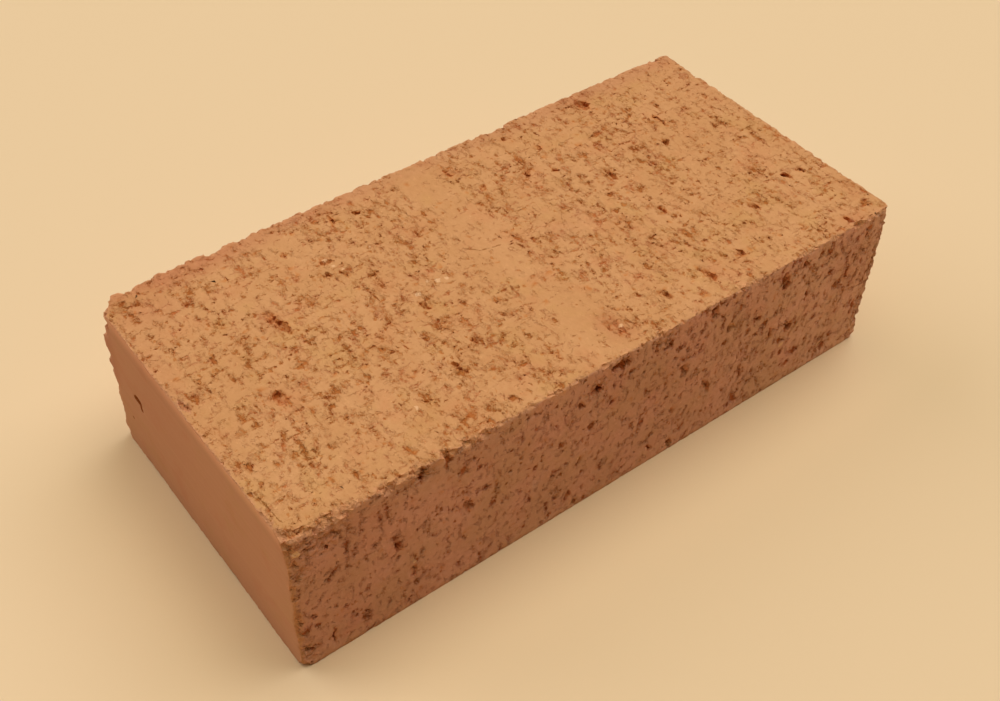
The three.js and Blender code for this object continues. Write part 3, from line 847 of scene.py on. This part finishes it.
def on_the_faces(tree):
    """Where a point is on the brick and on its face, how deep, and of which face it is."""
    at = SimpleNamespace()
    metres = placed(tree, "ShaderNodeTexCoord").outputs["Object"]
    at.from_middle, under, first, second = on_the_brick(tree, metres)
    at.x, at.y, z = apart(tree, at.from_middle)
    at.height = maths(tree, "ADD", z, float(HALF[UPRIGHT]))
    at.deep = depth_of_tear(tree, first, second)
    at.of_bed = maths(tree, "LESS_THAN", under[2], maths(tree, "MINIMUM", under[0], under[1]))
    at.upper_bed = maths(tree, "MULTIPLY", at.of_bed, maths(tree, "GREATER_THAN", z, 0.0))
    at.of_header = maths(tree, "LESS_THAN", under[0], under[1])
    at.of_header = maths(tree, "MULTIPLY", at.of_header, maths(tree, "SUBTRACT", 1.0, at.of_bed))
    at.left_header = maths(tree, "MULTIPLY", at.of_header, maths(tree, "LESS_THAN", at.x, 0.0))
    at.of_stretcher = maths(tree, "ADD", at.of_bed, at.of_header)
    at.of_stretcher = maths(tree, "SUBTRACT", 1.0, at.of_stretcher)
    at.front = maths(tree, "MULTIPLY", at.of_stretcher, maths(tree, "LESS_THAN", at.y, 0.0))
    on_bed, on_stretcher = places_on_faces(tree, at.from_middle)
    at.face = mixed(tree, at.of_bed, on_stretcher, on_bed, "VECTOR")
    return at


def cracks_in(tree, at, wobble):
    """The hairline cracks of the upper bed."""
    on_bed = together(tree, at.x, at.y, 0.0)
    crack = FAR_OFF
    for ends in CRACKS:
        crack = maths(tree, "MINIMUM", crack, off_line(tree, on_bed, *ends))
    crack = ramp(tree, maths(tree, "MULTIPLY_ADD", wobble, 1.6, crack), 0.26, 0.12)
    return maths(tree, "MULTIPLY", crack, at.upper_bed)


def slit_in(tree, at, wobble):
    """The slit in the left header, with its dark red-brown inside, partly the redder clay and partly
    painted shade, which reaches a little past the slit's edge.
    """
    on_header = together(tree, at.y, at.height, 0.0)
    slit = FAR_OFF
    for start, end, half_width in SLIT:
        off = off_line(tree, on_header, start, end)
        slit = maths(tree, "MINIMUM", slit, maths(tree, "SUBTRACT", off, half_width))
    slit = ramp(tree, maths(tree, "MULTIPLY_ADD", wobble, 0.6, slit), 0.4, 0.0)
    return maths(tree, "MULTIPLY", slit, at.left_header)


def grit_in(tree, at, wobble):
    """The grains of grit in the upper bed and the front stretcher."""
    bed_grit = off_grit(tree, together(tree, at.x, at.y, 0.0), BED_GRIT)
    front_grit = off_grit(tree, together(tree, at.x, at.height, 0.0), STRETCHER_GRIT)
    off = mixed_value(tree, at.of_bed, front_grit, bed_grit)
    grit = ramp(tree, maths(tree, "MULTIPLY_ADD", wobble, 2.6, off), 0.0, -0.25)
    return maths(tree, "MULTIPLY", grit, maths(tree, "MAXIMUM", at.upper_bed, at.front))


def marks_on(tree, at):
    """What the drag, the handling and the fire left at a point."""
    marks = SimpleNamespace()
    across = maths(
        tree, "MULTIPLY_ADD", at.of_bed, ACROSS_BEDS - ACROSS_STRETCHERS, ACROSS_STRETCHERS
    )
    pull = pull_of(tree, at.deep, noted_mark(tree, "pull"))
    marks.tears, marks.hollows = torn_clay(tree, at.face, pull, across)
    wobble = grain(tree, at.from_middle, 0.8, 2.0, 0.6, shift=(1, 2, 3))
    wobble = maths(tree, "SUBTRACT", wobble, 0.5)
    marks.crack = cracks_in(tree, at, wobble)
    marks.slit = slit_in(tree, at, wobble)
    marks.grit = grit_in(tree, at, wobble)
    marks.broken = noted_mark(tree, "broken")
    marks.crumbled = noted_mark(tree, "crumbled")
    marks.up, lifted = flaps(tree, at.face, pull)
    lifted = maths(tree, "MAXIMUM", lifted, maths(tree, "MULTIPLY", marks.crumbled, 0.8))
    lifted = maths(tree, "MULTIPLY", lifted, mixed_value(tree, at.of_bed, at.of_stretcher, 0.5))
    torn_open = maths(tree, "MULTIPLY_ADD", marks.hollows, 0.8, 0.2)
    marks.lifted = maths(tree, "MULTIPLY", lifted, torn_open)
    marks.between = maths(tree, "MULTIPLY", lumps(tree, at.from_middle), marks.crumbled)
    strewn = vectors(tree, "ADD", at.face, wandering(tree, at.face, 1.4, 1.0, 1.6))
    marks.off_crumb, marks.speck, marks.shade = cells(tree, strewn, 1.05, (1, 0.75, 1), (31, 2, 50))
    not_header = maths(tree, "SUBTRACT", 1.0, at.of_header)
    marks.crumbly = maths(tree, "MULTIPLY", marks.hollows, not_header)
    marks.crumb_shade = grain(tree, at.from_middle, 0.9, 2.0, 0.6, shift=(6, 4, 70))
    marks.crumb_shade = ramp(tree, marks.crumb_shade, 0.40, 0.60)
    marks.sand = grain(tree, at.face, 0.6, 4.0, 0.7, (1, 0.6, 1), (3, 3, 3))
    marks.sandy = maths(tree, "SUBTRACT", 1.0, maths(tree, "MULTIPLY", at.of_header, 0.5))
    return marks


def skin_of(tree, at, marks):
    """The colour of the clay's skin, with the fire's clouds and blushes and its sand, with bounce
    light from the floor painted on the front's foot, and with pale specks that are partly painted
    highlights.
    """
    clouds = ramp(tree, grain(tree, at.from_middle, 0.05, 3.0), 0.35, 0.65)
    bed = mixed(tree, clouds, *BED_CLAY)
    stretcher = mixed(tree, clouds, *STRETCHER_CLAY)
    skin = mixed(tree, at.of_bed, stretcher, bed)
    skin = mixed(tree, at.of_header, skin, HEADER_CLAY)
    rust = ramp(tree, grain(tree, at.from_middle, 0.08, 3.0, 0.6, shift=(40, 3, 9)), 0.50, 0.70)
    skin = tinted(tree, rust, skin, "rust")
    rubbed_lip = maths(tree, "MULTIPLY", at.left_header, ramp(tree, at.height, 58.5, 64.5))
    skin = tinted(tree, rubbed_lip, skin, "rubbed lip")
    far_edge = ramp(tree, at.y, 50.0, 58.0)
    far_edge = maths(tree, "MULTIPLY", far_edge, ramp(tree, at.x, -75.0, -50.0))
    far_edge = maths(tree, "MULTIPLY", far_edge, at.upper_bed)
    skin = tinted(tree, far_edge, skin, "far edge")
    olive = ramp(tree, grain(tree, at.from_middle, 0.07, 3.0, 0.6, shift=(4, 30, 19)), 0.52, 0.70)
    skin = tinted(tree, olive, skin, "olive")
    skin = tinted(tree, noted_mark(tree, "blush"), skin, "blush")
    # The front is paler towards its right end and darker towards its left, and its foot is lightened
    # as painted bounce light from the floor.
    for part, along, start, end in (
        ("right end", at.x, 0.0, 120.0),
        ("left end", at.x, -70.0, -120.0),
        ("painted floor bounce", at.height, 12.0, 0.0),
    ):
        amount = maths(tree, "MULTIPLY", at.front, ramp(tree, along, start, end))
        skin = tinted(tree, amount, skin, part)
    for grains, end in (("dark sand", 0.72), ("pale sand", 0.28)):
        amount = maths(tree, "MULTIPLY", ramp(tree, marks.sand, 0.45, end), marks.sandy)
        skin = tinted(tree, amount, skin, grains)
    # Pale specks by the crumbs, more of them in the hollows. They are partly pale grains of the clay
    # and partly painted highlights on the lips of the marks.
    specks = maths(tree, "MULTIPLY_ADD", marks.hollows, -0.25, marks.speck)
    near_crumb = ramp(tree, marks.off_crumb, 0.36, 0.16)
    specks = maths(tree, "MULTIPLY", ramp(tree, specks, 0.12, 0.04), near_crumb)
    specks = maths(tree, "MULTIPLY", specks, marks.sandy)
    return tinted_by_face(tree, at, specks, skin, "speck")


def torn_colour(tree, at, marks, skin):
    """The skin's colour, changed where it is torn, broken, crumbled or gritty, with shade painted
    between crumbs and lumps, under flaps, on the walls and rims of tears and in the slit, and
    highlights painted on crumbs and on the lips of flaps.
    """
    colour = tinted(tree, marks.hollows, skin, "hollow")
    rosy = ramp(tree, grain(tree, at.from_middle, 0.16, 2.0, 0.6, shift=(9, 70, 5)), 0.46, 0.62)
    rosy = maths(tree, "MULTIPLY", rosy, marks.hollows)
    colour = tinted(tree, rosy, colour, "rosy hollow")
    # Shade painted into the gaps between the crumbs of a hollow, and highlights painted on the
    # crumbs' tops.
    painted_gap_shade = maths(tree, "MULTIPLY", marks.crumbly, ramp(tree, marks.off_crumb, 0.26, 0.60))
    colour = tinted(tree, maths(tree, "MULTIPLY", painted_gap_shade, marks.shade), colour, "painted shade between crumbs")
    painted_crumb_highlights = maths(tree, "MULTIPLY", marks.crumbly, ramp(tree, marks.off_crumb, 0.30, 0.10))
    colour = tinted(tree, painted_crumb_highlights, colour, "painted highlight on a crumb")
    colour = tinted(tree, ramp(tree, at.deep, 0.2, 1.6), colour, "deep")
    # The walls of the tears are darkened and reddened as painted shade.
    colour = tinted_by_face(tree, at, noted_mark(tree, "steep"), colour, "painted shade on walls")
    clay = mixed(tree, marks.crumb_shade, *BROKEN_CLAY)
    high_up = ramp(tree, at.height, 60.0, 64.0)
    high_up = maths(tree, "MULTIPLY", high_up, ramp(tree, at.x, -124.0, -119.0))
    clay = tinted(tree, high_up, clay, "high up")
    colour = mixed(tree, maths(tree, "MULTIPLY", marks.broken, 0.9), colour, clay)
    # Shade painted between the lumps of crumbled clay.
    colour = tinted(tree, marks.between, colour, "painted shade between lumps")
    # Shade painted just under the edge of each flap, and a highlight painted on its lip.
    painted_shade_under_flap = maths(tree, "MULTIPLY", marks.lifted, ramp(tree, marks.up, 0.86, 0.96))
    colour = tinted(tree, painted_shade_under_flap, colour, "painted shade under a flap")
    off_lip = maths(tree, "ABSOLUTE", maths(tree, "SUBTRACT", marks.up, 0.76))
    lip = maths(tree, "MULTIPLY", marks.lifted, ramp(tree, off_lip, 0.12, 0.04))
    colour = tinted(tree, lip, colour, "painted highlight on a flap lip")
    colour = tinted_by_face(tree, at, marks.tears, colour, "torn")
    # Shade painted on the rims of the tears, where their sides slope.
    painted_rim_shade = maths(tree, "MULTIPLY", marks.tears, maths(tree, "SUBTRACT", 1.0, marks.tears))
    colour = tinted(tree, maths(tree, "MULTIPLY", painted_rim_shade, 4.0), colour, "painted_rim_shade")
    # The slit's dark red-brown, partly the redder clay inside and partly painted shade, reaching a
    # little past the slit's edge.
    colour = tinted(tree, marks.slit, colour, "slit")
    colour = tinted(tree, marks.crack, colour, "crack")
    flakes = grain(tree, at.from_middle, 0.9, 2.0, 0.6, shift=(8, 8, 1))
    flakes = ramp(tree, flakes, 0.56, 0.64, 0.0, 0.3)
    colour = mixed(tree, maths(tree, "MULTIPLY", flakes, marks.crumbled), colour, FLAKE_CLAY)
    return mixed(tree, maths(tree, "MULTIPLY", marks.grit, 0.9), colour, GRIT)


def relief_of(tree, at, marks):
    """How far the clay stands up or is sunk, in millimetres, apart from the mesh's own shape."""
    sunk = mixed_value(tree, at.of_bed, -0.35, -0.2)
    relief = maths(tree, "MULTIPLY_ADD", marks.hollows, 0.25, 0.1)
    relief = maths(tree, "MULTIPLY", marks.sand, relief)
    relief = maths(tree, "MULTIPLY_ADD", marks.tears, sunk, relief)
    relief = maths(tree, "MULTIPLY_ADD", marks.hollows, sunk, relief)
    relief = maths(tree, "MULTIPLY_ADD", marks.between, -0.3, relief)
    broken = maths(tree, "MULTIPLY", marks.broken, marks.crumb_shade)
    relief = maths(tree, "MULTIPLY_ADD", broken, 0.15, relief)
    grains = maths(tree, "MULTIPLY", marks.crumbly, maths(tree, "MINIMUM", marks.off_crumb, 0.6))
    relief = maths(tree, "MULTIPLY_ADD", grains, -0.25, relief)
    flap = maths(tree, "MINIMUM", marks.up, ramp(tree, marks.up, 1.0, 0.82))
    flap = maths(tree, "MULTIPLY", marks.lifted, flap)
    flap_height = mixed_value(tree, at.of_bed, 0.45, 0.3)
    relief = maths(tree, "MULTIPLY_ADD", flap, flap_height, relief)
    swell = grain(tree, at.face, 0.3, 3.0, 0.6, (1, 0.55, 1), (60, 20, 2))
    swell = maths(tree, "MULTIPLY", swell, mixed_value(tree, at.of_bed, 0.5, 0.35))
    relief = maths(tree, "ADD", relief, maths(tree, "MULTIPLY", swell, marks.sandy))
    return maths(tree, "MULTIPLY_ADD", marks.crack, -0.2, relief)


def fired_clay():
    clay = bpy.data.materials.new("fired_clay")
    clay.use_nodes = True
    tree = clay.node_tree
    shader = tree.nodes["Principled BSDF"]
    at = on_the_faces(tree)
    marks = marks_on(tree, at)
    colour = torn_colour(tree, at, marks, skin_of(tree, at, marks))
    tree.links.new(colour, shader.inputs["Base Color"])
    shader.inputs["Roughness"].default_value = 0.9
    shader.inputs["Specular IOR Level"].default_value = 0.1
    height = {"Height": relief_of(tree, at, marks), "Strength": 1.0, "Distance": MM}
    bump = placed(tree, "ShaderNodeBump", height)
    tree.links.new(bump.outputs["Normal"], shader.inputs["Normal"])
    return clay


# --- the stage -----------------------------------------------------------------------------------


def pale_floor():
    sheet = bmesh.new()
    bmesh.ops.create_grid(sheet, x_segments=1, y_segments=1, size=FLOOR_REACH)
    mesh = bpy.data.meshes.new("floor")
    sheet.to_mesh(mesh)
    sheet.free()
    paper = bpy.data.materials.new("pale_paper")
    paper.use_nodes = True
    shader = paper.node_tree.nodes["Principled BSDF"]
    shader.inputs["Base Color"].default_value = PAPER
    shader.inputs["Roughness"].default_value = 0.9
    shader.inputs["Specular IOR Level"].default_value = 0.2
    mesh.materials.append(paper)
    in_scene("floor", mesh)


def soft_sun(name, bearing, height, strength, colour):
    """A broad soft light from a bearing round from the right and a height, both in degrees."""
    light = bpy.data.lights.new(name, "SUN")
    light.energy = np.pi * strength
    light.color = colour
    light.angle = np.radians(SUN_BREADTH)
    turn, lift = np.radians(bearing), np.radians(height)
    towards = Vector((np.cos(turn) * np.cos(lift), np.sin(turn) * np.cos(lift), np.sin(lift)))
    in_scene(name, light).rotation_euler = towards.to_track_quat("Z", "Y").to_euler()


def studio():
    scene = bpy.context.scene
    scene.view_settings.view_transform = "Standard"
    world = bpy.data.worlds.new("studio")
    world.use_nodes = True
    tree = world.node_tree
    room = tree.nodes["Background"]
    room.inputs["Color"].default_value = ROOM_LIGHT
    room.inputs["Strength"].default_value = ROOM_STRENGTH
    beyond_floor = placed(tree, "ShaderNodeBackground", {"Color": PAPER_FAR_OFF})
    seen = placed(tree, "ShaderNodeLightPath").outputs["Is Camera Ray"]
    either = placed(tree, "ShaderNodeMixShader", {0: seen})
    tree.links.new(room.outputs[0], either.inputs[1])
    tree.links.new(beyond_floor.outputs[0], either.inputs[2])
    tree.links.new(either.outputs[0], tree.nodes["World Output"].inputs["Surface"])
    scene.world = world
    for name, light in SUNS.items():
        soft_sun(name, *light)
    camera = bpy.data.cameras.new("camera")
    camera.lens = 47.1814
    camera.sensor_width = 36
    view = in_scene("camera", camera)
    view.location = (-0.21292, -0.26146, 0.35856)
    view.rotation_euler = np.radians((44.5896, -1.3193, -37.3082))
    scene.camera = view


brick = torn_brick()
brick.data.materials.clear()
brick.data.materials.append(fired_clay())
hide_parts("brick")
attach(brick, "root")
pale_floor()
studio()
